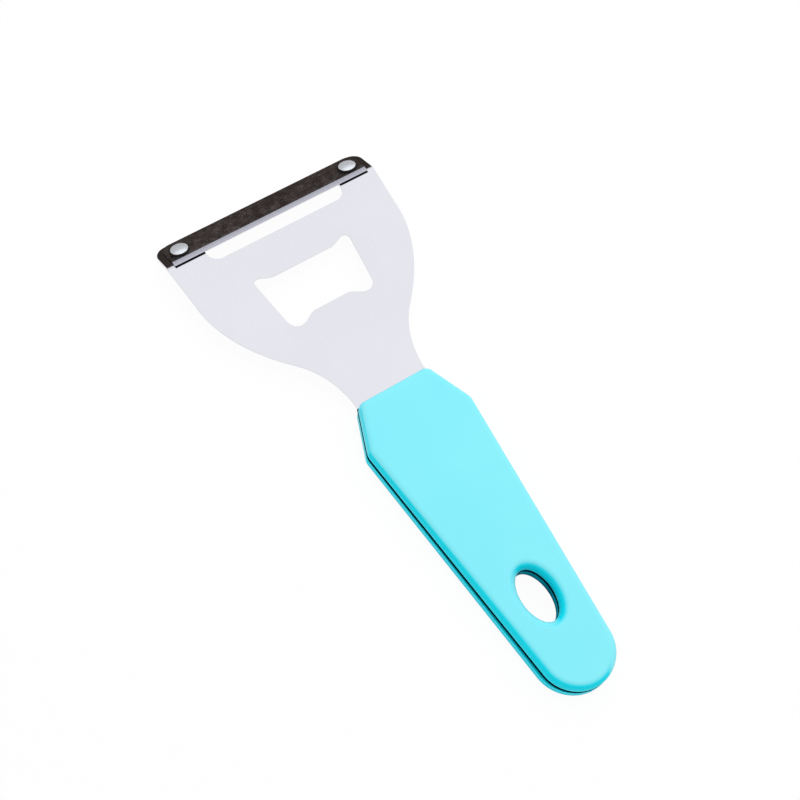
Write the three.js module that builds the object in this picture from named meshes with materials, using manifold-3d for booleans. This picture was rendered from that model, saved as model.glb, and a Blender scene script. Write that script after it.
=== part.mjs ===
// Fruit peeler with a full-tang steel plate, a riveted blade and a two-sided plastic handle.
// Millimetres, +Z up. The plate lies level, the blade end points to +Y and the handle to -Y.
import * as THREE from "three";
import { mergeVertices } from "three/addons/utils/BufferGeometryUtils.js";
import Module from "manifold-3d";

const wasm = await Module();
wasm.setup();

// Sheet steel plate
const plateThickness = 1.0;
const headHalfWidth = 32.0;
const shoulder = { x: 31.2, y: 46.4, pull: 12.3 };
const waist = { x: 17.7, y: 18.0, angle: 45.6, pullUp: 8.3, pullDown: 6.8 };
const neckPull = 6.2;

// Lip at the blade end, bent down from the plate
const lipAngle = THREE.MathUtils.degToRad(27);
const lipFold = 58.3; // where the plate's face and the lip's face would meet
const lipLength = 9.15;
const bendInsideRadius = 2.0;
const lipCornerRadius = 3.5;

// Peel slot in front of the blade
const slotHalfWidth = 21.0;
const slotNearEdge = 54.1;
const slotFarEdge = 58.6;
const slotCornerRadius = 3.3;
const slotFarRadius = 1.0;

// Bottle opener hole: two long edges that end in rounded corners
const opener = {
  top: 42.95, topHalf: 9.5, topBlend: 6.0,
  topCornerX: 15.05, topCornerRise: 2.4, topCornerRadius: 1.5,
  bottom: 28.95, bottomHalf: 5.7, bottomBlend: 3.0,
  bottomCornerX: 12.6, bottomCornerDrop: 4.0, bottomCornerRadius: 2.9,
};

// Blade strip and its rivets, measured along the lip from the fold
const bladeEndInset = 2.0; // from the lip's side edge
const bladeHalfLength = headHalfWidth - bladeEndInset;
const bladeThickness = 0.6;
const bladeOverhang = 0.5;
const bladeSetback = 0.7;
const bladeCornerRadius = 2.5;
const bevelWidth = 1.35;
const edgeFlat = 0.05;
const rivetFromEnd = 3.75; // from the blade's end
const rivetFromCentre = bladeHalfLength - rivetFromEnd;
const rivetFromFold = 3.85;
const rivetShankRadius = 1.5;
const rivetHeadRadius = 2.75;
const rivetHeadRim = 0.55;
const rivetHeadHeight = 1.1;
const rivetTailRadius = 2.4;
const rivetTailRim = 0.3;
const rivetTailHeight = 0.8;

// Handle outline, from its end beside the head down to the round tail
const handleTopHalf = 10.6;
const handleKinkHalf = 15.75;
const handleKinkDown = 12.9;
const handleLength = 90.6;
const tailRadius = 10.05;
const handleTopRadius = 2.4;
const handleKinkRadius = 3.5;
const scaleThickness = 3.0;
const frontEdgeRound = 2.0;
const rearEdgeRound = 0.8;
const rearFlare = 0.6; // how far the rear scale's tail stands out past the tang
const leastCornerRadius = 0.2;

// Hanging hole
const hangDown = 64.7;
const hangHalfWidth = 4.25;
const hangHalfLength = 7.3;
const frontRimRound = 2.5;
const rearRimRound = 0.8;

// Pegs moulded on the front scale that pass through the tang into the rear scale
const pegDown = [20, 46];
const pegRadius = 2.0;
const pegReach = 1.6;

// Clearances
const pegClearance = 0.15;
const rivetClearance = 0.1;
const seatGap = 0.05;
const overcut = 1.0; // how far a cutting tool runs past the faces it cuts

// Fineness of round stretches
const cornerSteps = 8;
const curveSteps = 14;
const ellipseSteps = 40;
const roundSteps = 5;
const latheSteps = 28;
const weldDistance = 1e-4;

const halfPlate = plateThickness / 2;
const faceHeight = halfPlate + scaleThickness;

// Solids from three.js geometry and back
function solidOf(geometry) {
  const bare = geometry.clone();
  bare.deleteAttribute("normal");
  bare.deleteAttribute("uv");
  const merged = mergeVertices(bare, weldDistance);
  return new wasm.Manifold(new wasm.Mesh({
    numProp: 3,
    vertProperties: merged.attributes.position.array,
    triVerts: new Uint32Array(merged.index.array),
  }));
}

function geometryOf(solid) {
  const mesh = solid.getMesh();
  const geometry = new THREE.BufferGeometry();
  geometry.setAttribute("position", new THREE.BufferAttribute(mesh.vertProperties, 3));
  geometry.setIndex(new THREE.BufferAttribute(mesh.triVerts, 1));
  const faceted = geometry.toNonIndexed();
  faceted.computeVertexNormals();
  return faceted;
}

// A polygon whose corners { x, y, r } are rounded with arcs of radius r
function roundedPolygon(corners) {
  const points = [];
  corners.forEach((corner, i) => {
    const at = new THREE.Vector2(corner.x, corner.y);
    const before = corners[(i + corners.length - 1) % corners.length];
    const after = corners[(i + 1) % corners.length];
    const toBefore = new THREE.Vector2(before.x, before.y).sub(at).normalize();
    const toAfter = new THREE.Vector2(after.x, after.y).sub(at).normalize();
    if (!corner.r) {
      points.push(at);
      return;
    }
    const half = Math.acos(toBefore.dot(toAfter)) / 2;
    const start = at.clone().addScaledVector(toBefore, corner.r / Math.tan(half));
    const middle = toBefore.clone().add(toAfter).normalize();
    const centre = at.clone().addScaledVector(middle, corner.r / Math.sin(half));
    const turn = Math.sign(toBefore.cross(toAfter)) * (Math.PI - 2 * half);
    for (let k = 0; k <= cornerSteps; k++) {
      points.push(start.clone().rotateAround(centre, (-turn * k) / cornerSteps));
    }
  });
  return points;
}

// The same corners for a convex polygon moved inwards, counterclockwise
function insetCorners(corners, inset) {
  return corners.map((corner, i) => {
    const before = corners[(i + corners.length - 1) % corners.length];
    const after = corners[(i + 1) % corners.length];
    const normalIn = new THREE.Vector2(corner.y - before.y, before.x - corner.x).normalize();
    const normalOut = new THREE.Vector2(after.y - corner.y, corner.x - after.x).normalize();
    const reach = inset / (1 + normalIn.dot(normalOut));
    return {
      x: corner.x - (normalIn.x + normalOut.x) * reach,
      y: corner.y - (normalIn.y + normalOut.y) * reach,
      r: corner.r && Math.max(corner.r - inset, leastCornerRadius),
    };
  });
}

function mirrored(corners) {
  return corners.map(({ x, y, r }) => ({ x: -x, y, r })).reverse();
}

function extruded(points, low, high) {
  const shape = new THREE.Shape(points);
  const geometry = new THREE.ExtrudeGeometry(shape, { depth: high - low, bevelEnabled: false });
  return geometry.translate(0, 0, low);
}

// A section drawn in (y, z) and carried along x from -half to half
function carriedAlongX(points, half) {
  const geometry = extruded(points, -half, half);
  const turn = new THREE.Matrix4().makeBasis(
    new THREE.Vector3(0, 1, 0), new THREE.Vector3(0, 0, 1), new THREE.Vector3(1, 0, 0));
  return geometry.applyMatrix4(turn);
}

// A closed skin over rings of points with one count, from the lowest ring to the highest
function lofted(rings) {
  const count = rings[0].points.length;
  const position = [];
  const index = [];
  rings.forEach(({ points, z }) => points.forEach((p) => position.push(p.x, p.y, z)));
  for (let ring = 0; ring + 1 < rings.length; ring++) {
    for (let i = 0; i < count; i++) {
      const a = ring * count + i;
      const b = ring * count + ((i + 1) % count);
      index.push(a, b, b + count, a, b + count, a + count);
    }
  }
  const last = (rings.length - 1) * count;
  THREE.ShapeUtils.triangulateShape(rings[0].points, []).forEach(([a, b, c]) => index.push(c, b, a));
  THREE.ShapeUtils.triangulateShape(rings.at(-1).points, [])
    .forEach(([a, b, c]) => index.push(last + a, last + b, last + c));
  const geometry = new THREE.BufferGeometry();
  geometry.setAttribute("position", new THREE.Float32BufferAttribute(position, 3));
  geometry.setIndex(index);
  return geometry;
}

function cylinderAlongZ(radius, low, high) {
  const geometry = new THREE.CylinderGeometry(radius, radius, high - low, latheSteps);
  return geometry.rotateX(Math.PI / 2).translate(0, 0, (low + high) / 2);
}

// Handle outline: the side runs from the kink to touch the round tail, which a flare widens
function handleCorners(topRadius, flare = 0) {
  const tailRound = tailRadius + flare;
  const tail = new THREE.Vector2(0, tailRound - handleLength);
  const kink = new THREE.Vector2(handleKinkHalf + flare / 4, -handleKinkDown);
  const toTail = tail.clone().sub(kink);
  const lean = toTail.angle() + Math.asin(tailRound / toTail.length());
  const reach = (-handleLength - kink.y) / Math.sin(lean);
  const right = [
    { x: kink.x + reach * Math.cos(lean), y: -handleLength, r: tailRound },
    { x: kink.x, y: kink.y, r: handleKinkRadius },
    { x: handleTopHalf, y: 0, r: topRadius },
  ];
  return [...right, ...mirrored(right)];
}

function ellipsePoints(halfWidth, halfLength, centreY) {
  const curve = new THREE.EllipseCurve(0, centreY, halfWidth, halfLength);
  return curve.getPoints(ellipseSteps).slice(0, -1);
}

// Heights and insets of a wall that rounds over into a face at faceHeight
function roundedOver(round) {
  const steps = [];
  for (let k = 0; k <= roundSteps; k++) {
    const angle = (k / roundSteps) * (Math.PI / 2);
    steps.push({
      z: faceHeight - round + round * Math.sin(angle),
      inset: round * (1 - Math.cos(angle)),
    });
  }
  return steps;
}

const upright = (rings) => rings;
const upsideDown = (rings) => rings.map(({ points, z }) => ({ points, z: -z })).reverse();

function scaleBody(place, edgeRound, flare = 0) {
  const corners = handleCorners(handleTopRadius, flare);
  const outline = (inset) => roundedPolygon(insetCorners(corners, inset));
  const rings = [{ points: outline(0), z: halfPlate }];
  roundedOver(edgeRound).forEach(({ z, inset }) => rings.push({ points: outline(inset), z }));
  return solidOf(lofted(place(rings)));
}

function hangHole(place, rimRound) {
  const outline = (grow) => ellipsePoints(hangHalfWidth + grow, hangHalfLength + grow, -hangDown);
  const rings = [{ points: outline(0), z: -overcut }];
  roundedOver(rimRound).forEach(({ z, inset }) => rings.push({ points: outline(inset), z }));
  rings.push({ points: outline(rimRound), z: faceHeight + overcut });
  return solidOf(lofted(place(rings)));
}

function pegs(radius, low, high) {
  const made = pegDown.map((down) => solidOf(cylinderAlongZ(radius, low, high).translate(0, -down, 0)));
  return made.reduce((all, peg) => all.add(peg));
}

// Lip frame: x across, y along the lip from the fold, z off its upper face
const lipPlace = new THREE.Matrix4()
  .makeTranslation(0, lipFold, halfPlate)
  .multiply(new THREE.Matrix4().makeRotationX(-lipAngle));

const rivetSides = [["left", -1], ["right", 1]];

function rivetHoles(low, high) {
  return rivetSides.map(([, side]) => {
    const hole = cylinderAlongZ(rivetShankRadius + rivetClearance, low, high);
    return hole.translate(side * rivetFromCentre, rivetFromFold, 0);
  });
}

// Head outline: straight by the lip, a round shoulder, then a hollow curve down to the neck
function headSide() {
  const start = new THREE.Vector2(shoulder.x, shoulder.y);
  const middle = new THREE.Vector2(waist.x, waist.y);
  const neck = new THREE.Vector2(handleTopHalf, 0);
  const angle = THREE.MathUtils.degToRad(waist.angle);
  const down = new THREE.Vector2(-Math.cos(angle), -Math.sin(angle));
  const upper = new THREE.CubicBezierCurve(
    start, new THREE.Vector2(start.x, start.y - shoulder.pull),
    middle.clone().addScaledVector(down, -waist.pullUp), middle);
  const lower = new THREE.CubicBezierCurve(
    middle, middle.clone().addScaledVector(down, waist.pullDown),
    new THREE.Vector2(neck.x, neck.y + neckPull), neck);
  return [...upper.getPoints(curveSteps), ...lower.getPoints(curveSteps).slice(1, -1)];
}

function lipSolid(bendStart) {
  const outer = bendInsideRadius + plateThickness;
  const centre = new THREE.Vector2(bendStart, halfPlate - outer);
  const arc = (radius) => {
    const made = [];
    for (let k = 0; k <= cornerSteps; k++) {
      const angle = Math.PI / 2 - (lipAngle * k) / cornerSteps;
      made.push(new THREE.Vector2(Math.cos(angle), Math.sin(angle)).multiplyScalar(radius).add(centre));
    }
    return made;
  };
  const end = (off) => {
    const p = new THREE.Vector3(0, lipLength, off).applyMatrix4(lipPlace);
    return new THREE.Vector2(p.y, p.z);
  };
  const section = [
    new THREE.Vector2(bendStart - overcut, -halfPlate), ...arc(bendInsideRadius), end(-plateThickness),
    end(0), ...arc(outer).reverse(), new THREE.Vector2(bendStart - overcut, halfPlate),
  ];
  const sheet = solidOf(carriedAlongX(section, headHalfWidth));
  const backOfLip = -2 * lipLength;
  const trim = roundedPolygon([
    { x: -headHalfWidth, y: backOfLip }, { x: headHalfWidth, y: backOfLip },
    { x: headHalfWidth, y: lipLength, r: lipCornerRadius },
    { x: -headHalfWidth, y: lipLength, r: lipCornerRadius },
  ]);
  return sheet.intersect(solidOf(extruded(trim, -lipLength, lipLength).applyMatrix4(lipPlace)));
}

function slotPoints() {
  const right = [
    { x: slotHalfWidth, y: slotNearEdge, r: slotCornerRadius },
    { x: slotHalfWidth, y: slotFarEdge, r: slotFarRadius },
  ];
  return roundedPolygon([...right, ...mirrored(right)]);
}

function openerPoints() {
  const o = opener;
  const right = [
    { x: o.bottomHalf, y: o.bottom, r: o.bottomBlend },
    { x: o.bottomCornerX, y: o.bottom - o.bottomCornerDrop, r: o.bottomCornerRadius },
    { x: o.topCornerX, y: o.top + o.topCornerRise, r: o.topCornerRadius },
    { x: o.topHalf, y: o.top, r: o.topBlend },
  ];
  return roundedPolygon([...right, ...mirrored(right)]);
}

function headPlate() {
  const bendStart = lipFold - (bendInsideRadius + plateThickness) * Math.tan(lipAngle / 2);
  const side = headSide();
  const rightSide = [new THREE.Vector2(headHalfWidth, bendStart), ...side];
  const leftSide = rightSide.map((p) => new THREE.Vector2(-p.x, p.y)).reverse();
  const handle = roundedPolygon(handleCorners(0));
  const topRight = handle.findIndex((p) => p.y === 0);
  const tang = [...handle.slice(topRight + 1), ...handle.slice(0, topRight + 1)].reverse();
  const outline = [...rightSide, ...tang, ...leftSide].reverse();
  const cut = (points) => solidOf(extruded(points, -lipLength, lipLength));
  const tangHoles = pegs(pegRadius + pegClearance, -plateThickness, plateThickness);
  let plate = solidOf(extruded(outline, -halfPlate, halfPlate)).add(lipSolid(bendStart));
  plate = plate.subtract(cut(slotPoints())).subtract(cut(openerPoints())).subtract(tangHoles);
  plate = plate.subtract(cut(ellipsePoints(hangHalfWidth, hangHalfLength, -hangDown)));
  rivetHoles(-plateThickness - overcut, overcut).forEach((hole) => {
    plate = plate.subtract(solidOf(hole.applyMatrix4(lipPlace)));
  });
  return geometryOf(plate);
}

// The blade's section: flat below, ground from its upper face down to the edge
function blade() {
  const edge = -bladeOverhang;
  const back = lipLength - bladeSetback;
  const top = seatGap + bladeThickness;
  const section = [
    new THREE.Vector2(edge, seatGap), new THREE.Vector2(back, seatGap), new THREE.Vector2(back, top),
    new THREE.Vector2(edge + bevelWidth, top), new THREE.Vector2(edge, seatGap + edgeFlat),
  ];
  const trim = roundedPolygon([
    { x: -bladeHalfLength, y: edge - overcut }, { x: bladeHalfLength, y: edge - overcut },
    { x: bladeHalfLength, y: back, r: bladeCornerRadius },
    { x: -bladeHalfLength, y: back, r: bladeCornerRadius },
  ]);
  let strip = solidOf(carriedAlongX(section, bladeHalfLength + overcut));
  strip = strip.intersect(solidOf(extruded(trim, -overcut, top + overcut)));
  rivetHoles(-overcut, top + overcut).forEach((hole) => {
    strip = strip.subtract(solidOf(hole));
  });
  return geometryOf(strip);
}

// Half of an arched head: from its rim at radius and height rim up to its crown on the axis
function crown(radius, rim, height) {
  const rise = height - rim;
  const sphere = (radius * radius + rise * rise) / (2 * rise);
  const points = [];
  for (let k = 0; k <= roundSteps; k++) {
    const r = radius * (1 - k / roundSteps);
    points.push(new THREE.Vector2(r, height - sphere + Math.sqrt(sphere * sphere - r * r)));
  }
  return points;
}

function rivet() {
  const headSeat = 2 * seatGap + bladeThickness;
  const tailSeat = -plateThickness - seatGap;
  const tail = crown(rivetTailRadius, rivetTailRim, rivetTailHeight).reverse();
  const head = crown(rivetHeadRadius, rivetHeadRim, rivetHeadHeight);
  const profile = [
    ...tail.map((p) => new THREE.Vector2(p.x, tailSeat - p.y)),
    new THREE.Vector2(rivetTailRadius, tailSeat), new THREE.Vector2(rivetShankRadius, tailSeat),
    new THREE.Vector2(rivetShankRadius, headSeat), new THREE.Vector2(rivetHeadRadius, headSeat),
    ...head.map((p) => new THREE.Vector2(p.x, headSeat + p.y)),
  ];
  return new THREE.LatheGeometry(profile, latheSteps).rotateX(Math.PI / 2);
}

function frontScale() {
  const root = halfPlate + overcut;
  const reach = -halfPlate - pegReach;
  const body = scaleBody(upright, frontEdgeRound).subtract(hangHole(upright, frontRimRound));
  return geometryOf(body.add(pegs(pegRadius, reach, root)));
}

function rearScale() {
  const depth = -halfPlate - pegReach - pegClearance;
  const sockets = pegs(pegRadius + pegClearance, depth, 0);
  const body = scaleBody(upsideDown, rearEdgeRound, rearFlare);
  return geometryOf(body.subtract(hangHole(upsideDown, rearRimRound)).subtract(sockets));
}

function piece(name, geometry, color, roughness, metalness) {
  const mesh = new THREE.Mesh(geometry, new THREE.MeshStandardMaterial({ color, roughness, metalness }));
  mesh.name = name;
  return mesh;
}

// The whole peeler, moved so that the origin is the middle of its underside
const peeler = new THREE.Group();
const lipEnd = new THREE.Vector3(0, lipLength, 0).applyMatrix4(lipPlace);
const lipFoot = new THREE.Vector3(0, lipLength, -plateThickness).applyMatrix4(lipPlace);
peeler.position.set(0, (handleLength - lipEnd.y) / 2, -lipFoot.z);
peeler.add(piece("head_plate", headPlate(), "#d9dae0", 0.28, 1));
peeler.add(piece("front_scale", frontScale(), "#7ce9f5", 0.35, 0));
peeler.add(piece("rear_scale", rearScale(), "#7ce9f5", 0.35, 0));

const lipGroup = new THREE.Group();
lipGroup.applyMatrix4(lipPlace);
lipGroup.add(piece("blade", blade(), "#8d8a8c", 0.2, 1));
rivetSides.forEach(([word, side]) => {
  const made = piece(`${word}_rivet`, rivet(), "#e4e6ea", 0.18, 1);
  made.position.set(side * rivetFromCentre, rivetFromFold, 0);
  lipGroup.add(made);
});
peeler.add(lipGroup);

const part = new THREE.Group();
part.add(peeler);
export default part;
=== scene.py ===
# %% [markdown]
# # A fruit peeler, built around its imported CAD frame
# The real thing is a sheet-steel plate with a bent lip, a thin blade that two
# rivets hold on the lip, and a handle of two moulded plastic scales on the
# plate's tang. The CAD model fixes every size and place. Here each piece is
# modelled again with softer edges and gets the finish that the eye expects.

# %% Load the frame
import math

import bmesh
import bpy
from mathutils import Matrix, Vector
from mathutils.geometry import interpolate_bezier


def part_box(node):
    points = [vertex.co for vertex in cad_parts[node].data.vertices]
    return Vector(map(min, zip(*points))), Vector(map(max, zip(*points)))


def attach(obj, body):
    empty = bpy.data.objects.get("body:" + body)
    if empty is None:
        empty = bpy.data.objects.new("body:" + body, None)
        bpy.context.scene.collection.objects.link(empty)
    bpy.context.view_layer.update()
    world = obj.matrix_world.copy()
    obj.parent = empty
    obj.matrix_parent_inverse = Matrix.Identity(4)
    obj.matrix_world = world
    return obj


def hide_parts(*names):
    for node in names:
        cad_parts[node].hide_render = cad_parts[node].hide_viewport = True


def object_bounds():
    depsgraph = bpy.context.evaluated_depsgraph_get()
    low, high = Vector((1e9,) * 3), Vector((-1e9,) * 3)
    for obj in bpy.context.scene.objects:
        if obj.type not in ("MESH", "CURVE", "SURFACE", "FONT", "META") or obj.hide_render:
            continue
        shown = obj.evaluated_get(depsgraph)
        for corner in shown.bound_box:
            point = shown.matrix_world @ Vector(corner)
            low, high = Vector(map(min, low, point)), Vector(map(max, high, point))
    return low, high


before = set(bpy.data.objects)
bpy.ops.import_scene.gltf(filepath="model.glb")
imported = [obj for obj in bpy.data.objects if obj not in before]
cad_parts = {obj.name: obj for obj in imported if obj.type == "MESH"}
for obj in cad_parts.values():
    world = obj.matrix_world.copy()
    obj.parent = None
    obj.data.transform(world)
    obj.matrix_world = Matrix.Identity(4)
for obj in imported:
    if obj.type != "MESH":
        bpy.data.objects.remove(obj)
cad_box = [list(corner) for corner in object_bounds()]
print("CAD nodes:", sorted(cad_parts))
print("CAD box in metres:", cad_box)

# %% [markdown]
# ## Where the pieces are measured from
# The peeler is easiest to draw in millimetres from the middle of the neck,
# where the handle meets the head, on the middle of the steel sheet. The rear
# scale's highest corner lies on that line, half a sheet below its middle, so
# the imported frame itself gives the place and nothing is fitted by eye.

# %% The drawing's origin
MM = 0.001
sheet = 1.0
half_sheet = sheet / 2

scale_low, scale_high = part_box("rear_scale")
neck = Vector((0, scale_high.y, scale_high.z + half_sheet * MM))
to_frame = Matrix.Translation(neck) @ Matrix.Diagonal((MM, MM, MM, 1))
print("Neck in metres:", [round(c, 6) for c in neck])

# %% [markdown]
# ## Camera
# The picture looks down on the peeler from its left, with the blade up and the
# handle running to the lower right. Azimuth, elevation, roll and distance were
# solved from the edges in the photograph. A camera could be aimed with a
# constraint, but a direction and a roll are plain numbers that stay put.

# %% Place the camera
aim = Vector((0.15, 8.33, 4.55)) * MM
view_azimuth = math.radians(-137.67)
view_elevation = math.radians(65.35)
view_roll = math.radians(15.58)
view_distance = 376.7 * MM

away = Vector((math.cos(view_elevation) * math.cos(view_azimuth),
               math.cos(view_elevation) * math.sin(view_azimuth),
               math.sin(view_elevation)))
camera = bpy.data.objects.new("camera", bpy.data.cameras.new("camera"))
camera.data.sensor_width = 36
camera.data.lens = 66.27
camera.data.clip_start = 0.01
turn = (-away).to_track_quat("-Z", "Y").to_matrix().to_4x4()
camera.matrix_world = (Matrix.Translation(aim + away * view_distance) @ turn
                       @ Matrix.Rotation(view_roll, 4, "Z"))
bpy.context.scene.collection.objects.link(camera)
bpy.context.scene.camera = camera
bpy.context.scene.view_settings.view_transform = "Standard"
print("Camera at", [round(c, 4) for c in camera.matrix_world.translation])

# %% [markdown]
# ## Small helpers for materials
# Colours are written as sRGB hex values and turned to linear light once, in one
# function. Another adds a shader node: a value that is a socket is linked, any
# other value is set on the node's own socket.

# %% Colour and node helpers
def linear(code):
    parts = [int(code[i:i + 2], 16) / 255 for i in (1, 3, 5)]
    return [c / 12.92 if c <= 0.04045 else ((c + 0.055) / 1.055) ** 2.4
            for c in parts] + [1.0]


def add_node(tree, kind, inputs=None, **settings):
    node = tree.nodes.new(kind)
    for name, value in settings.items():
        setattr(node, name, value)
    for name, value in (inputs or {}).items():
        if isinstance(value, bpy.types.NodeSocket):
            tree.links.new(value, node.inputs[name])
        else:
            node.inputs[name].default_value = value
    return node


def empty_material(name):
    material = bpy.data.materials.new(name)
    material.use_nodes = True
    material.node_tree.nodes.clear()
    return material, material.node_tree


print("Pure red in linear light:", linear("#ff0000"))

# %% [markdown]
# ## White studio
# The product lies on plain white paper. The paper could be lit until it burns
# out, but that would bleach the peeler too. Instead the camera, and the mirror
# rays of the steel, see a share of plain white, and the rest of the paper is
# really lit, so the soft shadow stays. Farther off the paper turns plain white
# altogether, so that no horizon shows from the side.

# %% How much of a ray sees the plain white
def seen_directly(tree):
    path = add_node(tree, "ShaderNodeLightPath")
    first = add_node(tree, "ShaderNodeMath", operation="MAXIMUM",
                     inputs={0: path.outputs["Is Camera Ray"],
                             1: path.outputs["Is Glossy Ray"]})
    return add_node(tree, "ShaderNodeMath", operation="MAXIMUM",
                    inputs={0: first.outputs[0],
                            1: path.outputs["Is Transmission Ray"]})


print("Seen directly: rays of the camera, of mirrors and of glass")

# %% World light
ambient_level = 0.62
world = bpy.data.worlds.new("studio")
bpy.context.scene.world = world
world.use_nodes = True
tree = world.node_tree
tree.nodes.clear()
direct = seen_directly(tree)
room = add_node(tree, "ShaderNodeBackground",
                {"Color": linear("#ffffff"), "Strength": ambient_level})
white = add_node(tree, "ShaderNodeBackground",
                 {"Color": linear("#ffffff"), "Strength": 1.0})
mixed = add_node(tree, "ShaderNodeMixShader",
                 {0: direct.outputs[0], 1: room.outputs[0], 2: white.outputs[0]})
add_node(tree, "ShaderNodeOutputWorld", {"Surface": mixed.outputs[0]})
print("World ready, ambient level", ambient_level)

# %% Floor of white paper
plain_share = 0.95
shadow_reach, paper_fade = 0.15, 0.6
paper, tree = empty_material("white_paper")
where = add_node(tree, "ShaderNodeTexCoord")
far = add_node(tree, "ShaderNodeVectorMath", {0: where.outputs["Object"]},
               operation="LENGTH")
plainer = add_node(tree, "ShaderNodeMapRange", {
    "Value": far.outputs["Value"], "From Min": shadow_reach, "From Max": paper_fade,
    "To Min": plain_share, "To Max": 1.0})
direct = seen_directly(tree)
share = add_node(tree, "ShaderNodeMath", operation="MULTIPLY",
                 inputs={0: direct.outputs[0], 1: plainer.outputs[0]})
lit = add_node(tree, "ShaderNodeBsdfDiffuse", {"Color": linear("#fbfbfb")})
plain = add_node(tree, "ShaderNodeEmission",
                 {"Color": linear("#ffffff"), "Strength": 1.0})
mixed = add_node(tree, "ShaderNodeMixShader",
                 {0: share.outputs[0], 1: lit.outputs[0], 2: plain.outputs[0]})
add_node(tree, "ShaderNodeOutputMaterial", {"Surface": mixed.outputs[0]})
print("Paper is plain white to a share of", plain_share)

# %% [markdown]
# The peeler doesn't lie level: it rests on the lip's lower edge and on the
# round tail of the rear scale. The paper is tilted by that small angle, which
# is simpler than tilting every piece and leaves the frame as it was packed.

# %% Tilt the paper under both points of rest
def stage_object(bm, name, material):
    mesh = bpy.data.meshes.new(name)
    bm.to_mesh(mesh)
    bm.free()
    mesh.materials.append(material)
    made = bpy.data.objects.new(name, mesh)
    bpy.context.scene.collection.objects.link(made)
    return made


lip_foot = Vector((0, cad_box[1][1], cad_box[0][2]))
tail_foot = Vector((0, scale_low.y, scale_low.z))
along = lip_foot - tail_foot
lean = math.atan2(along.z, along.y)
rest_gap = 0.05 * MM
paper_half = 2.0
bm = bmesh.new()
bmesh.ops.create_grid(bm, x_segments=1, y_segments=1, size=paper_half)
bmesh.ops.rotate(bm, cent=(0, 0, 0), verts=bm.verts[:],
                 matrix=Matrix.Rotation(lean, 3, "X"))
bmesh.ops.translate(bm, vec=lip_foot - Vector((0, 0, rest_gap)), verts=bm.verts[:])
stage_object(bm, "paper_floor", paper)
print("Paper tilted by", round(math.degrees(lean), 3), "degrees")

# %% [markdown]
# ## Lamps
# One large softbox overhead gives the even light of a catalogue picture. The
# lip leans away from the camera and mirrors the space beyond the blade, which is
# dark in the photograph, so a dark card is folded there, one half lying and one
# half standing, and only mirror rays see it.

# %% Softbox
softbox_place = Vector((0.30, 0.25, 0.75))
softbox_target = Vector((0, 0, 0.005))
softbox_size = 0.8
softbox_watts = 3.75

lamp = bpy.data.lights.new("key_softbox", "AREA")
lamp.shape = "SQUARE"
lamp.size = softbox_size
lamp.energy = softbox_watts
softbox = bpy.data.objects.new("key_softbox", lamp)
softbox.location = softbox_place
softbox.rotation_euler = (softbox_target - softbox_place).to_track_quat("-Z", "Y").to_euler()
softbox.visible_glossy = False
bpy.context.scene.collection.objects.link(softbox)
print("Softbox of", softbox_watts, "W")

# %% Dark card beyond the blade
def extrude_edges(bm, edges, step):
    made = bmesh.ops.extrude_edge_only(bm, edges=edges)["geom"]
    bmesh.ops.translate(bm, vec=step,
                        verts=[g for g in made if isinstance(g, bmesh.types.BMVert)])
    return [g for g in made if isinstance(g, bmesh.types.BMEdge)]


card_half_width = 0.30
card_height = 0.024
card_gap = 0.030
card_lift = 0.2 * MM
card_board, tree = empty_material("dark_card_board")
board = add_node(tree, "ShaderNodeEmission",
                 {"Color": linear("#504744"), "Strength": 1.0})
add_node(tree, "ShaderNodeOutputMaterial", {"Surface": board.outputs[0]})

bm = bmesh.new()
ends = [bm.verts.new((x, 0, 0)) for x in (-card_half_width, card_half_width)]
fold = extrude_edges(bm, [bm.edges.new(ends)], (0, card_gap, 0))
extrude_edges(bm, fold, (0, 0, card_height))
bmesh.ops.translate(bm, verts=bm.verts[:], vec=lip_foot + Vector((0, 0, card_lift)))
card = stage_object(bm, "dark_card", card_board)
card.visible_camera = False
card.visible_diffuse = False
card.visible_shadow = False
print("Card stands", round(card_gap / MM), "mm beyond the lip")

# %% [markdown]
# ## Tools for the pieces
# Each outline is the same left and right, so only its right half is drawn, as
# one face from a few corner points. A vertex bevel rounds a corner, and a
# mirror adds the other half. A last helper moves the drawing into the frame.

# %% Modelling helpers
weld = 0.001


def round_corner(bm, corner, radius, segments=8):
    one, two = (edge.other_vert(corner).co - corner.co for edge in corner.link_edges)
    reach = radius / math.tan(one.angle(two) / 2)
    bmesh.ops.bevel(bm, geom=[corner], affect="VERTICES", offset=reach,
                    offset_type="OFFSET", segments=segments, profile=0.5, material=-1)


def mirror_half(bm):
    bmesh.ops.mirror(bm, geom=bm.verts[:] + bm.edges[:] + bm.faces[:],
                     merge_dist=weld, axis="X")
    bmesh.ops.recalc_face_normals(bm, faces=bm.faces[:])


def extrude_faces(bm, step):
    made = bmesh.ops.extrude_face_region(bm, geom=bm.faces[:])["geom"]
    bmesh.ops.translate(bm, vec=step,
                        verts=[g for g in made if isinstance(g, bmesh.types.BMVert)])
    bmesh.ops.recalc_face_normals(bm, faces=bm.faces[:])


def finished_piece(bm, name, node, materials, place=to_frame):
    bmesh.ops.transform(bm, matrix=place, verts=bm.verts[:])
    mesh = bpy.data.meshes.new(name)
    bm.to_mesh(mesh)
    bm.free()
    for material in materials:
        mesh.materials.append(material)
    mesh.shade_smooth()
    piece = bpy.data.objects.new(name, mesh)
    bpy.context.scene.collection.objects.link(piece)
    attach(piece, "root")
    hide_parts(node)
    print(name, "has", len(mesh.polygons), "faces before its modifiers")
    return piece


def soften_edges(piece, width, segments, least_angle=35):
    bevel = piece.modifiers.new("soft_edges", "BEVEL")
    bevel.limit_method = "ANGLE"
    bevel.angle_limit = math.radians(least_angle)
    bevel.width = width * MM
    bevel.segments = segments
    piece.modifiers.new("even_shading", "WEIGHTED_NORMAL")


print("Points closer than", weld, "mm are one point")

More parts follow.
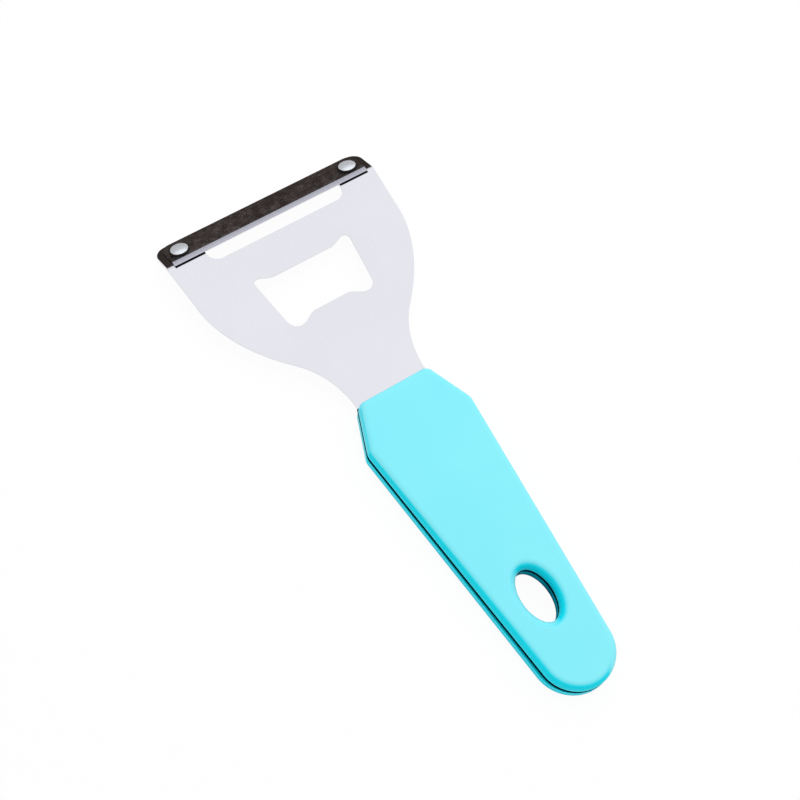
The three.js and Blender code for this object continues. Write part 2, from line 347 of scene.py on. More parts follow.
# %% [markdown]
# ## Satin stainless sheet
# The plate is cold-rolled stainless steel with a fine satin finish. To the eye
# it is an even pale grey mirror that blurs what it shows, with faint streaks
# along the rolling direction. The real streaks are about 0.05 mm apart, too fine
# for the picture, so they are drawn about 1.5 mm apart.

# %% Steel of the plate
streak_pitch = 1.5
streak_stretch = 0.02
sheet_haze = 18
grain_depth = 0.02
plate_steel, tree = empty_material("satin_stainless_sheet")
where = add_node(tree, "ShaderNodeTexCoord")
rolled = add_node(tree, "ShaderNodeMapping", {
    "Vector": where.outputs["Object"],
    "Scale": (1 / (streak_pitch * MM), streak_stretch / (streak_pitch * MM), 1)})
streaks = add_node(tree, "ShaderNodeTexNoise", {
    "Vector": rolled.outputs[0], "Scale": 1.0, "Detail": 3.0})
clouds = add_node(tree, "ShaderNodeTexNoise", {
    "Vector": where.outputs["Object"], "Scale": 1 / (sheet_haze * MM), "Detail": 2.0})
tone = add_node(tree, "ShaderNodeMix", {
    "Factor": clouds.outputs["Fac"], "A": linear("#e2e2ea"), "B": linear("#eaeaf1")},
    data_type="RGBA")
blur = add_node(tree, "ShaderNodeMapRange", {
    "Value": streaks.outputs["Fac"], "To Min": 0.25, "To Max": 0.29})
grain = add_node(tree, "ShaderNodeBump", {
    "Height": streaks.outputs["Fac"], "Strength": 0.004, "Distance": grain_depth * MM})
print("Streaks are drawn", streak_pitch, "mm apart")

# %% [markdown]
# The crevice under the blade's edge is painted almost black, as painted shade in the gap
# under the edge. It is found by its place on the sheet, so it needs no mesh.

# %% Painted shade in the crevice
crevice_near, crevice_far = 57.32, 57.44
blade_half = 30.0
place = add_node(tree, "ShaderNodeSeparateXYZ", {0: where.outputs["Object"]})
facing = add_node(tree, "ShaderNodeSeparateXYZ", {0: where.outputs["Normal"]})
under_edge = add_node(tree, "ShaderNodeMapRange", {
    "Value": place.outputs["Y"], "From Min": neck.y + crevice_near * MM,
    "From Max": neck.y + crevice_far * MM})
side = add_node(tree, "ShaderNodeMath", {0: place.outputs["X"]}, operation="ABSOLUTE")
by_blade = add_node(tree, "ShaderNodeMath", operation="LESS_THAN",
                    inputs={0: side.outputs[0], 1: blade_half * MM})
on_top = add_node(tree, "ShaderNodeMath", operation="GREATER_THAN",
                  inputs={0: facing.outputs["Z"], 1: 0.95})
along_blade = add_node(tree, "ShaderNodeMath", operation="MULTIPLY",
                       inputs={0: under_edge.outputs[0], 1: by_blade.outputs[0]})
# painted shade: a near-black band on the sheet just under the blade's edge
painted_crevice_shade = add_node(tree, "ShaderNodeMath", operation="MULTIPLY",
                inputs={0: along_blade.outputs[0], 1: on_top.outputs[0]})
tone_with_shade_line = add_node(tree, "ShaderNodeMix", {
    "Factor": painted_crevice_shade.outputs[0], "A": tone.outputs[2], "B": linear("#0d1517")},
    data_type="RGBA")
dulled = add_node(tree, "ShaderNodeMix", {
    "Factor": painted_crevice_shade.outputs[0], "A": blur.outputs[0], "B": 0.7}, data_type="FLOAT")
print("Dirt starts", crevice_near, "mm above the neck")

# %% [markdown]
# The lip is polished together with the blade after riveting, so beyond the bend the sheet
# mirrors more sharply. There its colour is also painted darker, as a painted reflection of
# the dark beyond the blade. The surface's lean finds the lip, so again no mesh is needed.

# %% Polish and painted reflection on the lip
leaning = add_node(tree, "ShaderNodeMapRange", {
    "Value": facing.outputs["Y"], "From Min": 0.20, "From Max": 0.45})
polish_and_painted_dark = add_node(tree, "ShaderNodeMath", operation="MULTIPLY",
                    inputs={0: leaning.outputs[0], 1: under_edge.outputs[0]})
# painted reflection: the lip's colour is darkened where it leans away
painted_lip_dark = add_node(tree, "ShaderNodeMix", {
    "Factor": polish_and_painted_dark.outputs[0], "A": tone_with_shade_line.outputs[2], "B": linear("#9c9a9b")},
    data_type="RGBA")
sharp = add_node(tree, "ShaderNodeMix", {
    "Factor": polish_and_painted_dark.outputs[0], "A": dulled.outputs[0], "B": 0.20},
    data_type="FLOAT")
skin = add_node(tree, "ShaderNodeBsdfPrincipled", {
    "Base Color": painted_lip_dark.outputs[2], "Metallic": 1.0,
    "Roughness": sharp.outputs[0], "Normal": grain.outputs[0]})
add_node(tree, "ShaderNodeOutputMaterial", {"Surface": skin.outputs[0]})
print(plate_steel.name, "has", len(tree.nodes), "nodes")

# %% [markdown]
# The tang is painted matt black, as painted shade in the narrow seam between the scales.
# Only its edge shows, as a thin black line.

# %% Painted shade on the tang
blotch_size = 1.2
tang_edge_shade, tree = empty_material("painted_shade_on_tang")
where = add_node(tree, "ShaderNodeTexCoord")
blotches = add_node(tree, "ShaderNodeTexNoise", {
    "Vector": where.outputs["Object"], "Scale": 1 / (blotch_size * MM), "Detail": 2.0})
tone = add_node(tree, "ShaderNodeMix", {
    "Factor": blotches.outputs["Fac"], "A": linear("#020506"), "B": linear("#0a1214")},
    data_type="RGBA")
skin = add_node(tree, "ShaderNodeBsdfPrincipled", {
    "Base Color": tone.outputs[2], "Roughness": 0.95, "Specular IOR Level": 0.0})
add_node(tree, "ShaderNodeOutputMaterial", {"Surface": skin.outputs[0]})
print(tang_edge_shade.name, "has", len(tree.nodes), "nodes")

# %% [markdown]
# ## The plate
# One sheet, 1 mm thick: a wide head with a peel slot and a bottle opener, a
# narrow neck, a tang inside the handle, and a lip bent down at the blade end.
# It is drawn as a sheet without thickness, as a sheet-metal worker would lay it
# out. The bend is a spin about the bending axis, and a Solidify modifier gives
# the thickness last, so the bend stays even.

# %% Sizes of the plate, in millimetres from the neck
head_half = 32.0
shoulder = Vector((31.2, 46.4, 0))
shoulder_pull = Vector((0, -12.3, 0))
waist = Vector((17.7, 18.0, 0))
waist_angle = math.radians(45.6)
waist_run = Vector((-math.cos(waist_angle), -math.sin(waist_angle), 0))
waist_pull_up = 8.3
waist_pull_down = 6.8
neck_half = 10.6
neck_pull = 6.2

lip_angle = math.radians(27)
lip_fold = 58.3
lip_length = 9.15
lip_corner = 3.5
bend_inside = 2.0
bend_reach = (bend_inside + sheet) * math.tan(lip_angle / 2)
bend_start = lip_fold - bend_reach
lip_run = Vector((0, math.cos(lip_angle), -math.sin(lip_angle)))

slot_half = 21.0
slot_near = 54.1
slot_corner = 3.3
rivet_out = 26.25
rivet_along = 3.85
steel_softness = 0.06
print("The bend starts", round(bend_start, 3), "mm above the neck")

# %% Sizes of the handle
kink_half = 15.75
kink_down = 12.9
kink_corner = 3.5
handle_length = 90.6
tail_half = 9.23
tail_corner = 9.95
hole_down = 64.7
hole_half_width = 4.25
hole_half_length = 7.3
hole_steps = 32
shade_start = 0.4
print("The handle is", handle_length, "mm long")

# %% [markdown]
# The hanging hole is an oval. A single vertex is spun half a turn into an arc
# of edges, which is then squeezed to the oval's width. The handle's side is
# three corner points, shared by the tang and by both scales. A scale may flare
# out past the tang: fully at its tail, and by a quarter of that at the kink.

# %% Half of the hanging hole and of the handle
def half_hole(bm):
    top = bm.verts.new((0, hole_half_length, 0))
    bmesh.ops.spin(bm, geom=[top], cent=(0, 0, 0), axis=(0, 0, 1),
                   angle=-math.pi, steps=hole_steps)
    arc = sorted(bm.verts, key=lambda v: -v.co.y)
    bmesh.ops.scale(bm, vec=(hole_half_width / hole_half_length, 1, 1), verts=arc)
    bmesh.ops.translate(bm, vec=(0, -hole_down, 0), verts=arc)
    arc[0].co.x = arc[-1].co.x = 0
    return arc


def half_handle(bm, flare=0.0):
    return [bm.verts.new((0, -handle_length, 0)),
            bm.verts.new((tail_half + flare, -handle_length, 0)),
            bm.verts.new((kink_half + flare / 4, -kink_down, 0))]


print("The hanging hole is", 2 * hole_half_width, "by", 2 * hole_half_length, "mm")

# %% [markdown]
# The right half of the sheet is one face. Its border runs down the oval, round the
# handle's tail and side, up the head, along the slot and back through the opener
# hole, and it closes on the middle line, where the mirror joins both halves. So no
# hole has to be cut. The head's side is two Bezier curves that meet at the waist.

# %% Draw the right half of the flat sheet
bm = bmesh.new()
hole_arc = half_hole(bm)
handle_side = half_handle(bm)
upper_side = interpolate_bezier(shoulder, shoulder + shoulder_pull,
                                waist - waist_run * waist_pull_up, waist, 20)
neck_corner = Vector((neck_half, 0, 0))
lower_side = interpolate_bezier(waist, waist + waist_run * waist_pull_down,
                                neck_corner + Vector((0, neck_pull, 0)), neck_corner, 20)
head_side = [bm.verts.new(p) for p in reversed(upper_side + lower_side[1:])]
front = [bm.verts.new((x, bend_start, 0)) for x in (head_half, rivet_out, slot_half)]
slot_side = [bm.verts.new((x, slot_near, 0)) for x in (slot_half, 0)]
opener_far, opener_near = 42.95, 28.95
# Half of the opener hole, each corner with its place and its radius.
opener_points = [(0, opener_far, 0), (9.5, opener_far, 6.0), (15.05, 45.35, 1.6),
                 (12.6, 24.95, 3.3), (5.7, opener_near, 3.0), (0, opener_near, 0)]
opener_side = [bm.verts.new((x, y, 0)) for x, y, r in opener_points]
bm.faces.new(hole_arc + handle_side + head_side + front + slot_side + opener_side)
for corner, (x, y, radius) in zip(opener_side, opener_points):
    if radius:
        round_corner(bm, corner, radius, 10)
round_corner(bm, slot_side[0], slot_corner, 10)
round_corner(bm, handle_side[1], tail_corner, 20)
round_corner(bm, handle_side[2], kink_corner)
print("Half sheet has", len(bm.verts), "points")

# %% [markdown]
# The sheet's front edge is spun about the bending axis and then extruded twice, to the row
# of rivets and to the lip's end. Above the slot that strip is carried to the middle line.
# After the mirror a cut across the tang parts bare steel from the painted shade of the tang.

# %% Bend the lip and carry it across
bent = bmesh.ops.spin(
    bm, geom=[e for e in bm.edges
              if all(abs(v.co.y - bend_start) < weld for v in e.verts)],
    cent=(0, bend_start, -bend_inside - half_sheet), axis=(1, 0, 0),
    angle=-lip_angle, steps=8)["geom_last"]
lip_start = [g for g in bent if isinstance(g, bmesh.types.BMEdge)]
rivet_row = extrude_edges(bm, lip_start, lip_run * (rivet_along - bend_reach))
extrude_edges(bm, rivet_row, lip_run * (lip_length - rivet_along))
start_y = min(v.co.y for e in lip_start for v in e.verts)
inner = [e for e in bm.edges
         if all(abs(v.co.x - slot_half) < weld and v.co.y > start_y - weld
                for v in e.verts)]
extrude_edges(bm, inner, Vector((-slot_half, 0, 0)))
tip = max(bm.verts, key=lambda v: v.co.y + v.co.x)
round_corner(bm, tip, lip_corner)
mirror_half(bm)
if sum(f.normal.z for f in bm.faces) < 0:
    bmesh.ops.reverse_faces(bm, faces=bm.faces[:])
bmesh.ops.bisect_plane(bm, geom=bm.verts[:] + bm.edges[:] + bm.faces[:],
                       plane_co=(0, -shade_start, 0), plane_no=(0, 1, 0))
# faces past the cut get the tang's painted shade, a matt black
for face in bm.faces:
    face.material_index = int(face.calc_center_median().y < -shade_start)
print("Whole sheet has", len(bm.faces), "faces")

# %% Give the sheet its thickness
plate = finished_piece(bm, "steel_plate", "head_plate",
                       [plate_steel, tang_edge_shade])
thick = plate.modifiers.new("sheet_thickness", "SOLIDIFY")
thick.thickness = sheet * MM
thick.offset = 0
thick.use_even_offset = True
soften_edges(plate, steel_softness, 2)

# %% [markdown]
# ## Hardened blade strip
# The blade is hardened stainless steel, polished and then ground to an edge on
# its upper side. The polished face mirrors the dark beyond the blade, with dull
# smudges from tempering and handling. The smudges are mostly a change of roughness,
# because paint-like patches would look like stone from the other side.

# %% Steel of the blade
smudge_size = 2
blade_steel, tree = empty_material("polished_hardened_steel")
where = add_node(tree, "ShaderNodeTexCoord")
smudge = add_node(tree, "ShaderNodeTexNoise", {
    "Vector": where.outputs["Object"], "Scale": 1 / (smudge_size * MM), "Detail": 4.0,
    "Roughness": 0.6})
patchy = add_node(tree, "ShaderNodeMapRange", {
    "Value": smudge.outputs["Fac"], "From Min": 0.28, "From Max": 0.72})
tone = add_node(tree, "ShaderNodeMix", {
    "Factor": patchy.outputs[0], "A": linear("#9d9a9a"), "B": linear("#bfbdbc")},
    data_type="RGBA")
blur = add_node(tree, "ShaderNodeMapRange", {
    "Value": patchy.outputs[0], "To Min": 0.12, "To Max": 0.32})
skin = add_node(tree, "ShaderNodeBsdfPrincipled", {
    "Base Color": tone.outputs[2], "Metallic": 1.0, "Roughness": blur.outputs[0]})
add_node(tree, "ShaderNodeOutputMaterial", {"Surface": skin.outputs[0]})
print(blade_steel.name, "has", len(tree.nodes), "nodes")

# %% [markdown]
# The ground bevel stays bright, and brightest at the edge, where it is honed. Its
# grinding marks run across the edge, about 0.05 mm apart on the real blade and drawn
# at 0.3 mm so that they can show. A second material is right here, because a bevel
# ends in a hard line.

# %% Ground bevel
mark_pitch = 0.3
mark_length = 4
blade_thick = 0.6
blade_reach = 0.5
bevel_width = 1.35
bevel_edge = lip_fold - blade_reach * lip_run.y
bevel_end = lip_fold + (bevel_width - blade_reach) * lip_run.y - blade_thick * lip_run.z
ground_steel, tree = empty_material("ground_steel_bevel")
where = add_node(tree, "ShaderNodeTexCoord")
wheel = add_node(tree, "ShaderNodeMapping", {
    "Vector": where.outputs["Object"],
    "Scale": (1 / (mark_pitch * MM), 1 / (mark_length * MM), 1 / (mark_length * MM))})
marks = add_node(tree, "ShaderNodeTexNoise", {
    "Vector": wheel.outputs[0], "Scale": 1.0, "Detail": 2.0})
place = add_node(tree, "ShaderNodeSeparateXYZ", {0: where.outputs["Object"]})
honed = add_node(tree, "ShaderNodeMapRange", {
    "Value": place.outputs["Y"], "From Min": neck.y + bevel_end * MM,
    "From Max": neck.y + bevel_edge * MM, "To Min": 0.0, "To Max": 0.5})
bright = add_node(tree, "ShaderNodeMath", operation="MULTIPLY_ADD",
                  inputs={0: marks.outputs["Fac"], 1: 0.5, 2: honed.outputs[0]})
tone = add_node(tree, "ShaderNodeMix", {
    "Factor": bright.outputs[0], "A": linear("#9496a2"), "B": linear("#cbcbd8")},
    data_type="RGBA")
skin = add_node(tree, "ShaderNodeBsdfPrincipled", {
    "Base Color": tone.outputs[2], "Metallic": 1.0, "Roughness": 0.2})
add_node(tree, "ShaderNodeOutputMaterial", {"Surface": skin.outputs[0]})
print("Grinding marks are drawn", mark_pitch, "mm apart")

# %% [markdown]
# ## The blade
# A strip 0.6 mm thick that lies on the lip and reaches past its fold, over the
# slot. It is drawn lying flat as a row of extruded edges, gets its thickness by
# one more extrusion, and its upper front edge is pushed down to grind the bevel.

# %% Make the blade
blade_setback = 0.7
blade_back = lip_length - blade_setback
blade_corner = 2.5
blade_softness = 0.02
edge_flat = 0.05
seat_gap = 0.05
to_lip = (to_frame @ Matrix.Translation((0, lip_fold, half_sheet))
          @ Matrix.Rotation(-lip_angle, 4, "X"))

bm = bmesh.new()
ends = [bm.verts.new((x, -blade_reach, seat_gap)) for x in (0, blade_half)]
edge_line = [bm.edges.new(ends)]
bevel_top = extrude_edges(bm, edge_line, Vector((0, bevel_width, 0)))
extrude_edges(bm, bevel_top, Vector((0, blade_back + blade_reach - bevel_width, 0)))
tip = max(bm.verts, key=lambda v: v.co.y + v.co.x)
round_corner(bm, tip, blade_corner)
mirror_half(bm)
extrude_faces(bm, Vector((0, 0, blade_thick)))
ground = [v for v in bm.verts
          if v.co.y < weld - blade_reach and v.co.z > seat_gap + weld]
bmesh.ops.translate(bm, vec=(0, 0, edge_flat - blade_thick), verts=ground)
bm.normal_update()
for face in bm.faces:
    face.material_index = int(0.5 < face.normal.z < 0.98)
blade = finished_piece(bm, "peeling_blade", "blade",
                       [blade_steel, ground_steel], to_lip)
soften_edges(blade, blade_softness, 2, 15)

# %% [markdown]
# ## Nickel-plated rivets
# Each rivet has a low domed head on the blade and a smaller upset end under the
# lip. The plating is bright and smooth, with faint marks from the setting tool.

# %% Plating
tool_mark = 0.9
dent_depth = 0.05
rivet_steel, tree = empty_material("nickel_plated_steel")
where = add_node(tree, "ShaderNodeTexCoord")
marks = add_node(tree, "ShaderNodeTexNoise", {
    "Vector": where.outputs["Object"], "Scale": 1 / (tool_mark * MM), "Detail": 3.0})
tone = add_node(tree, "ShaderNodeMix", {
    "Factor": marks.outputs["Fac"], "A": linear("#e4ebf8"), "B": linear("#fafdff")},
    data_type="RGBA")
blur = add_node(tree, "ShaderNodeMapRange", {
    "Value": marks.outputs["Fac"], "To Min": 0.26, "To Max": 0.40})
dents = add_node(tree, "ShaderNodeBump", {
    "Height": marks.outputs["Fac"], "Strength": 0.10, "Distance": dent_depth * MM})
skin = add_node(tree, "ShaderNodeBsdfPrincipled", {
    "Base Color": tone.outputs[2], "Metallic": 0.5,
    "Roughness": blur.outputs[0], "Normal": dents.outputs[0]})
add_node(tree, "ShaderNodeOutputMaterial", {"Surface": skin.outputs[0]})
print(rivet_steel.name, "has", len(tree.nodes), "nodes")

# %% [markdown]
# The edge of a head is coloured dull and dark, and only the crown bright. The edge gets a
# material of its own, because the crown ends in a clear line.

# %% Dark edge of the heads
spot_size = 0.6
rivet_edge, tree = empty_material("dark_nickel_edge")
where = add_node(tree, "ShaderNodeTexCoord")
spots = add_node(tree, "ShaderNodeTexNoise", {
    "Vector": where.outputs["Object"], "Scale": 1 / (spot_size * MM), "Detail": 3.0})
tone = add_node(tree, "ShaderNodeMix", {
    "Factor": spots.outputs["Fac"], "A": linear("#171412"), "B": linear("#47423f")},
    data_type="RGBA")
skin = add_node(tree, "ShaderNodeBsdfPrincipled", {
    "Base Color": tone.outputs[2], "Metallic": 0.9, "Roughness": 0.35})
add_node(tree, "ShaderNodeOutputMaterial", {"Surface": skin.outputs[0]})
print(rivet_edge.name, "has", len(tree.nodes), "nodes")

# %% [markdown]
# The head's upright side is painted almost black, as painted shade in the corner between a
# head and the blade.

# %% Painted shade round the heads
speck_size = 0.4
rivet_side_shade, tree = empty_material("painted_shade_rivet_side")
where = add_node(tree, "ShaderNodeTexCoord")
specks = add_node(tree, "ShaderNodeTexNoise", {
    "Vector": where.outputs["Object"], "Scale": 1 / (speck_size * MM), "Detail": 2.0})
tone = add_node(tree, "ShaderNodeMix", {
    "Factor": specks.outputs["Fac"], "A": linear("#070605"), "B": linear("#1d1916")},
    data_type="RGBA")
skin = add_node(tree, "ShaderNodeBsdfPrincipled", {
    "Base Color": tone.outputs[2], "Roughness": 0.6, "Specular IOR Level": 0.1})
add_node(tree, "ShaderNodeOutputMaterial", {"Surface": skin.outputs[0]})
print(rivet_side_shade.name, "has", len(tree.nodes), "nodes")

# %% [markdown]
# A rivet is turned work, so its profile is spun. The two crowns are arcs of a
# large circle, made by spinning one vertex a little way, and the shank between
# them is a few extruded points.

# %% Make the rivets
shank_radius = 1.5
head_radius, head_rim, head_rise = 2.75, 0.55, 0.55
bright_radius = 2.35
end_radius, end_rim, end_rise = 2.4, 0.3, 0.5
head_seat = 2 * seat_gap + blade_thick
end_seat = -sheet - seat_gap


def crown(bm, radius, top, rise, up):
    ball = (radius ** 2 + rise ** 2) / (2 * rise)
    start = bm.verts.new((0, 0, top))
    sweep = math.asin(radius / ball)
    bmesh.ops.spin(bm, geom=[start], cent=(0, 0, top - up * ball), axis=(0, 1, 0),
                   angle=up * sweep, steps=8)
    return max(bm.verts, key=lambda v: v.co.x * 1e3 + up * v.co.z)


def rivet(name, node, side):
    finishes = [rivet_steel, rivet_edge, rivet_side_shade]
    bm = bmesh.new()
    tail_edge = crown(bm, end_radius, end_seat - end_rim - end_rise, end_rise, -1)
    points = [(end_radius, end_seat), (shank_radius, end_seat),
              (shank_radius, head_seat), (head_radius, head_seat)]
    chain = [tail_edge] + [bm.verts.new((r, 0, z)) for r, z in points]
    head_edge = crown(bm, head_radius, head_seat + head_rim + head_rise, head_rise, 1)
    chain.append(head_edge)
    for one, two in zip(chain, chain[1:]):
        bm.edges.new((one, two))
    bmesh.ops.spin(bm, geom=bm.edges[:], cent=(0, 0, 0), axis=(0, 0, 1),
                   angle=2 * math.pi, steps=48, use_merge=True)
    bmesh.ops.remove_doubles(bm, verts=bm.verts[:], dist=weld)
    bmesh.ops.recalc_face_normals(bm, faces=bm.faces[:])
    # outside the crown, upright faces get the painted shade and the rest the dark edge
    for face in bm.faces:
        if face.calc_center_median().xy.length > bright_radius:
            upright = abs(face.normal.z) < 0.5
            face.material_index = finishes.index(rivet_side_shade if upright else rivet_edge)
    bmesh.ops.translate(bm, vec=(side * rivet_out, rivet_along, 0), verts=bm.verts[:])
    made = finished_piece(bm, name, node, finishes, to_lip)
    soften_edges(made, steel_softness, 2)


rivet("rivet_at_left", "left_rivet", -1)
rivet("rivet_at_right", "right_rivet", 1)

# %% [markdown]
# ## Moulded plastic
# The scales are injection-moulded polypropylene with a satin spark-eroded texture. The flat
# faces are painted a pale aqua and the walls a deeper aqua, as painted light and shade by
# the way the surface faces. Two materials would leave a hard line on the round edges, so one
# material blends by the way the surface faces. Towards the neck the painted pale tone
# reaches farther over the edges.

# %% Faces and walls of the handle
plastic_haze = 25
pale_start, pale_end = 70, 10
handle_plastic, tree = empty_material("moulded_polypropylene")
where = add_node(tree, "ShaderNodeTexCoord")
place = add_node(tree, "ShaderNodeSeparateXYZ", {0: where.outputs["Object"]})
facing = add_node(tree, "ShaderNodeSeparateXYZ", {0: where.outputs["Normal"]})
clouds = add_node(tree, "ShaderNodeTexNoise", {
    "Vector": where.outputs["Object"], "Scale": 1 / (plastic_haze * MM), "Detail": 2.0})
lit_face_tone = add_node(tree, "ShaderNodeMix", {
    "Factor": clouds.outputs["Fac"], "A": linear("#80eefc"), "B": linear("#94f5ff")},
    data_type="RGBA")
flat = add_node(tree, "ShaderNodeMath", {0: facing.outputs["Z"]}, operation="ABSOLUTE")
# painted light: the pale tone reaches farther towards the neck
lightened = add_node(tree, "ShaderNodeMapRange", {
    "Value": place.outputs["Y"], "From Min": neck.y - pale_start * MM,
    "From Max": neck.y - pale_end * MM, "To Min": 0.0, "To Max": 0.17})
paler = add_node(tree, "ShaderNodeMath", operation="ADD",
                 inputs={0: flat.outputs[0], 1: lightened.outputs[0]})
# painted light and shade: faces get the pale tone, walls the deeper one
lit_by_facing = add_node(tree, "ShaderNodeMapRange", {
    "Value": paler.outputs[0], "From Min": 0.75, "From Max": 1.02},
    interpolation_type="SMOOTHSTEP")
print("Edges are rubbed pale from", pale_start, "mm below the neck upwards")

# %% [markdown]
# The rear scale's ledge beside the seam faces up, but it is painted in the walls' deeper
# colour, as painted shade. It is found by its height, close to the middle of the sheet.

# %% Seam ledge
seam_reach = 1.0
# painted shade: the seam's ledge keeps the walls' deeper colour
at_seam = add_node(tree, "ShaderNodeMath", operation="COMPARE",
                   inputs={0: place.outputs["Z"], 1: neck.z, 2: seam_reach * MM})
off_seam = add_node(tree, "ShaderNodeMath", operation="SUBTRACT", use_clamp=True,
                    inputs={0: lit_by_facing.outputs[0], 1: at_seam.outputs[0]})
print("The seam's ledge is found within", seam_reach, "mm of the sheet's middle")

# %% [markdown]
# The walls on the right and the end at the neck are painted as pale as the faces, as painted
# light on the side the light comes from. Inside the hanging hole the wall is painted pale
# more gently on the right, and not at all where it faces the neck. A Mapping node squeezes
# the hole to a circle of radius 1, so one length tells hole from outside.

# %% Painted light on the walls
light_side = (0.95, 0.3, 0.0)
light_in_hole, light_outside = 0.4, 0.14
hole_middle = (neck.y - hole_down * MM) / (hole_half_length * MM)
from_hole = add_node(tree, "ShaderNodeMapping", {
    "Vector": where.outputs["Object"], "Location": (0, -hole_middle, 0),
    "Scale": (1 / (hole_half_width * MM), 1 / (hole_half_length * MM), 0)})
away_from_hole = add_node(tree, "ShaderNodeVectorMath", {0: from_hole.outputs[0]},
                          operation="LENGTH")
past_rim = add_node(tree, "ShaderNodeMapRange", {
    "Value": away_from_hole.outputs["Value"], "From Min": 1.3, "From Max": 1.6})
light_width = add_node(tree, "ShaderNodeMapRange", {
    "Value": past_rim.outputs[0], "To Min": light_in_hole, "To Max": light_outside})
# painted light on walls that face the light's side
toward_light = add_node(tree, "ShaderNodeVectorMath", operation="DOT_PRODUCT",
                         inputs={0: where.outputs["Normal"], 1: light_side})
lit_side = add_node(tree, "ShaderNodeMapRange", {
    "Value": toward_light.outputs["Value"], "From Min": 0.0,
    "From Max": light_width.outputs[0]})
toward_neck = add_node(tree, "ShaderNodeMapRange", {
    "Value": facing.outputs["Y"], "From Min": 0.1, "From Max": 0.5, "To Max": 0.8})
lit_end = add_node(tree, "ShaderNodeMath", operation="MULTIPLY",
                     inputs={0: toward_neck.outputs[0], 1: past_rim.outputs[0]})
lit_walls = add_node(tree, "ShaderNodeMath", operation="MAXIMUM",
                 inputs={0: lit_side.outputs[0], 1: lit_end.outputs[0]})
pale = add_node(tree, "ShaderNodeMath", operation="MAXIMUM",
                inputs={0: off_seam.outputs[0], 1: lit_walls.outputs[0]})
tone = add_node(tree, "ShaderNodeMix", {
    "Factor": pale.outputs[0], "A": linear("#0ae7fa"), "B": lit_face_tone.outputs[2]},
    data_type="RGBA")
print("Walls towards", light_side, "are as pale as the faces")

# %% [markdown]
# Inside the hanging hole and in the seam the colour is painted darker still, as painted
# shade where little light gets in. An Ambient Occlusion node finds such places from the
# shape itself. The gloss fades with it, or the mirrored white of the paper would turn the
# hole's wall grey.

# %% Painted shade in deep places
dark_reach = 10
open_air = add_node(tree, "ShaderNodeAmbientOcclusion", {"Distance": dark_reach * MM})
shade = add_node(tree, "ShaderNodeMapRange", {
    "Value": open_air.outputs["AO"], "From Min": 0.20, "From Max": 0.60})
# painted shade: hollows found by Ambient Occlusion are darkened
shaded_deep = add_node(tree, "ShaderNodeMix", {
    "Factor": shade.outputs[0], "A": linear("#00607e"), "B": tone.outputs[2]},
    data_type="RGBA")
gloss = add_node(tree, "ShaderNodeMapRange", {
    "Value": open_air.outputs["AO"], "From Min": 0.40, "From Max": 0.80,
    "To Min": 0.0, "To Max": 0.12})
print("Openings narrower than about", dark_reach, "mm look deep")

# %% [markdown]
# The pits of the texture are about 0.1 mm apart, too fine for the picture, so
# they are drawn 0.35 mm apart. They blur the gloss and dent the surface a little.

# %% Satin texture
pit_pitch = 0.35
pit_depth = 0.03
pits = add_node(tree, "ShaderNodeTexNoise", {
    "Vector": where.outputs["Object"], "Scale": 1 / (pit_pitch * MM), "Detail": 2.0})
blur = add_node(tree, "ShaderNodeMapRange", {
    "Value": pits.outputs["Fac"], "To Min": 0.34, "To Max": 0.46})
dents = add_node(tree, "ShaderNodeBump", {
    "Height": pits.outputs["Fac"], "Strength": 0.08, "Distance": pit_depth * MM})
skin = add_node(tree, "ShaderNodeBsdfPrincipled", {
    "Base Color": shaded_deep.outputs[2], "IOR": 1.49, "Specular IOR Level": gloss.outputs[0],
    "Roughness": blur.outputs[0], "Normal": dents.outputs[0]})
add_node(tree, "ShaderNodeOutputMaterial", {"Surface": skin.outputs[0]})
print(handle_plastic.name, "has", len(tree.nodes), "nodes")

# %% [markdown]
# ## The two scales
# Both scales have one outline: a flat end at the neck, a slanted shoulder on
# each side, straight tapering sides and a round tail with a hanging hole. The
# half outline is mirrored, extruded to its thickness, and the edges of the outer
# face and of the hole are rounded with edge bevels. The front scale has wide
# soft edges. The rear one has small ones and flares a little towards its tail,
# so it shows below the black line of the tang as a thin ledge. At the seam the
# front scale's edge is broken too, so that more of the black line shows.

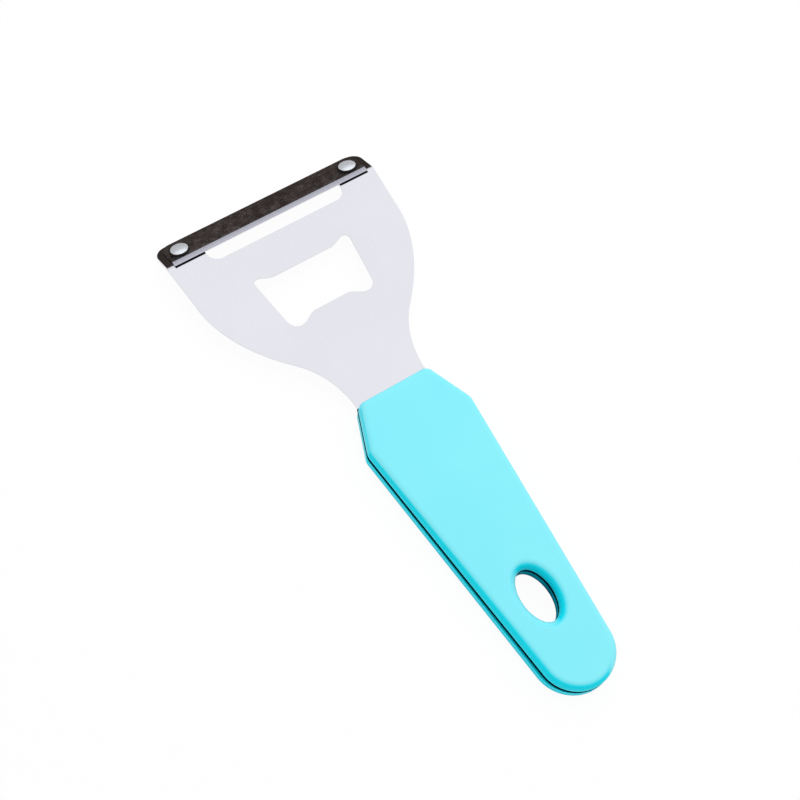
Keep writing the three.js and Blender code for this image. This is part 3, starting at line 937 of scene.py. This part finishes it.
# %% Make the scales
scale_thick = 3.0
top_corner = 2.4
face_round = 2.0
rear_round = 0.8
rear_flare = 0.6
hole_round = 2.5
front_seam, rear_seam = 0.45, 0.12


def rim_edges(bm, height):
    """The outline's and the hole's edges at one height, as two lists."""
    outline, hole = [], []
    for edge in bm.edges:
        if any(abs(v.co.z - height) > weld for v in edge.verts):
            continue
        if all(abs(face.normal.z) > 0.5 for face in edge.link_faces):
            continue
        centre = (edge.verts[0].co + edge.verts[1].co) / 2
        across = centre.x / hole_half_width
        down = (centre.y + hole_down) / hole_half_length
        (hole if across ** 2 + down ** 2 < 1.05 else outline).append(edge)
    return outline, hole


def round_edges(bm, edges, radius, segments):
    bmesh.ops.bevel(bm, geom=edges, affect="EDGES", offset=radius,
                    offset_type="OFFSET", segments=segments, profile=0.5, material=-1)


def scale(name, node, side, edge_round, rim_round, seam_round, flare=0.0):
    bm = bmesh.new()
    hole_side = half_hole(bm)
    handle_side = half_handle(bm, flare)
    top_side = [bm.verts.new((x, 0, 0)) for x in (neck_half, 0)]
    bm.faces.new(hole_side + handle_side + top_side)
    round_corner(bm, handle_side[1], tail_corner + flare, 20)
    round_corner(bm, handle_side[2], kink_corner)
    round_corner(bm, top_side[0], top_corner)
    mirror_half(bm)
    extrude_faces(bm, Vector((0, 0, scale_thick)))
    outline, hole = rim_edges(bm, scale_thick)
    round_edges(bm, outline, edge_round, 8)
    round_edges(bm, hole, rim_round, 8)
    outline, hole = rim_edges(bm, 0)
    round_edges(bm, outline + hole, seam_round, 3)
    bmesh.ops.translate(bm, vec=(0, 0, half_sheet), verts=bm.verts[:])
    bmesh.ops.scale(bm, vec=(1, 1, side), verts=bm.verts[:])
    bmesh.ops.recalc_face_normals(bm, faces=bm.faces[:])
    made = finished_piece(bm, name, node, [handle_plastic])
    made.modifiers.new("even_shading", "WEIGHTED_NORMAL")


scale("scale_on_front", "front_scale", 1, face_round, hole_round, front_seam)
scale("scale_on_rear", "rear_scale", -1, rear_round, rear_round, rear_seam, rear_flare)
